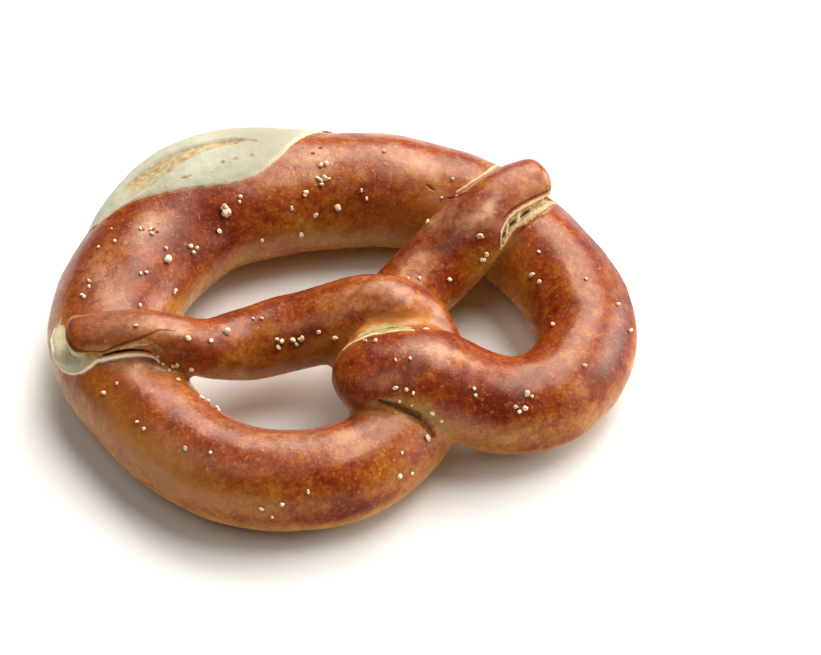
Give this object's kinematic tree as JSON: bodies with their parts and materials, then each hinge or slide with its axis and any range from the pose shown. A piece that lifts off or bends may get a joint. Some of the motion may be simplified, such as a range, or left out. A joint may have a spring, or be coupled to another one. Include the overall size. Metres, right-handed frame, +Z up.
{
  "type": "soft pretzel",
  "caption": "Baked soft pretzel: a twisted dough rope with a thick split belly, thin crossed arms, a browned crust and coarse salt, lying flat.",
  "frame": {"origin": "under the middle of the pretzel's bounding box, on its flat baked underside", "axes": "+X along the longest side, parallel to the line between the two arm ends; +Y towards the thick belly; +Z up from the surface it lies on"},
  "size_m": [0.1555, 0.1418, 0.037],
  "materials": {
    "crust": "browned lye-baked crust, satin, with a pale split belly, pale torn seams and white salt grains"
  },
  "bodies": {
    "root": {"pretzel": "crust"}
  },
  "joints": []
}
